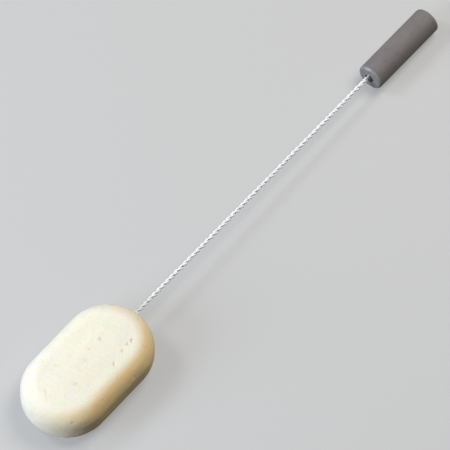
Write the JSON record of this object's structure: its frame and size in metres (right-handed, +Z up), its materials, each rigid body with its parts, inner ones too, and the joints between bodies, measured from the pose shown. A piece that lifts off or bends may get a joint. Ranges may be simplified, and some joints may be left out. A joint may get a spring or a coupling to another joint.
{
  "type": "long-handled bath sponge",
  "caption": "Long-handled bath sponge: a cream foam pad with full round ends on a twisted, plastic-coated wire stem that ends in a grey foam tube grip.",
  "frame": {"origin": "centre of the bounding box, on the surface that the object lies on", "axes": "+X runs from the pad along the stem to the grip, +Z up, square to the pad's large flat face; +Y is the pad's width"},
  "size_m": [0.6092, 0.0914, 0.0475],
  "materials": {
    "pad_foam": "open-cell polyurethane foam, matt, fine cut cells with a few larger pores",
    "wire_coat": "smooth white vinyl, slightly glossy",
    "wire_steel": "drawn steel wire",
    "grip_foam": "closed-cell foam tube, matt, fine skin, cut cells on the end faces",
    "set_glue": "set adhesive, slightly glossy amber"
  },
  "bodies": {
    "root": {"sponge": "pad_foam", "wire_coating": "wire_coat", "wire_core": "wire_steel", "grip": "grip_foam", "pad_glue": "set_glue", "grip_glue": "set_glue"}
  },
  "joints": []
}
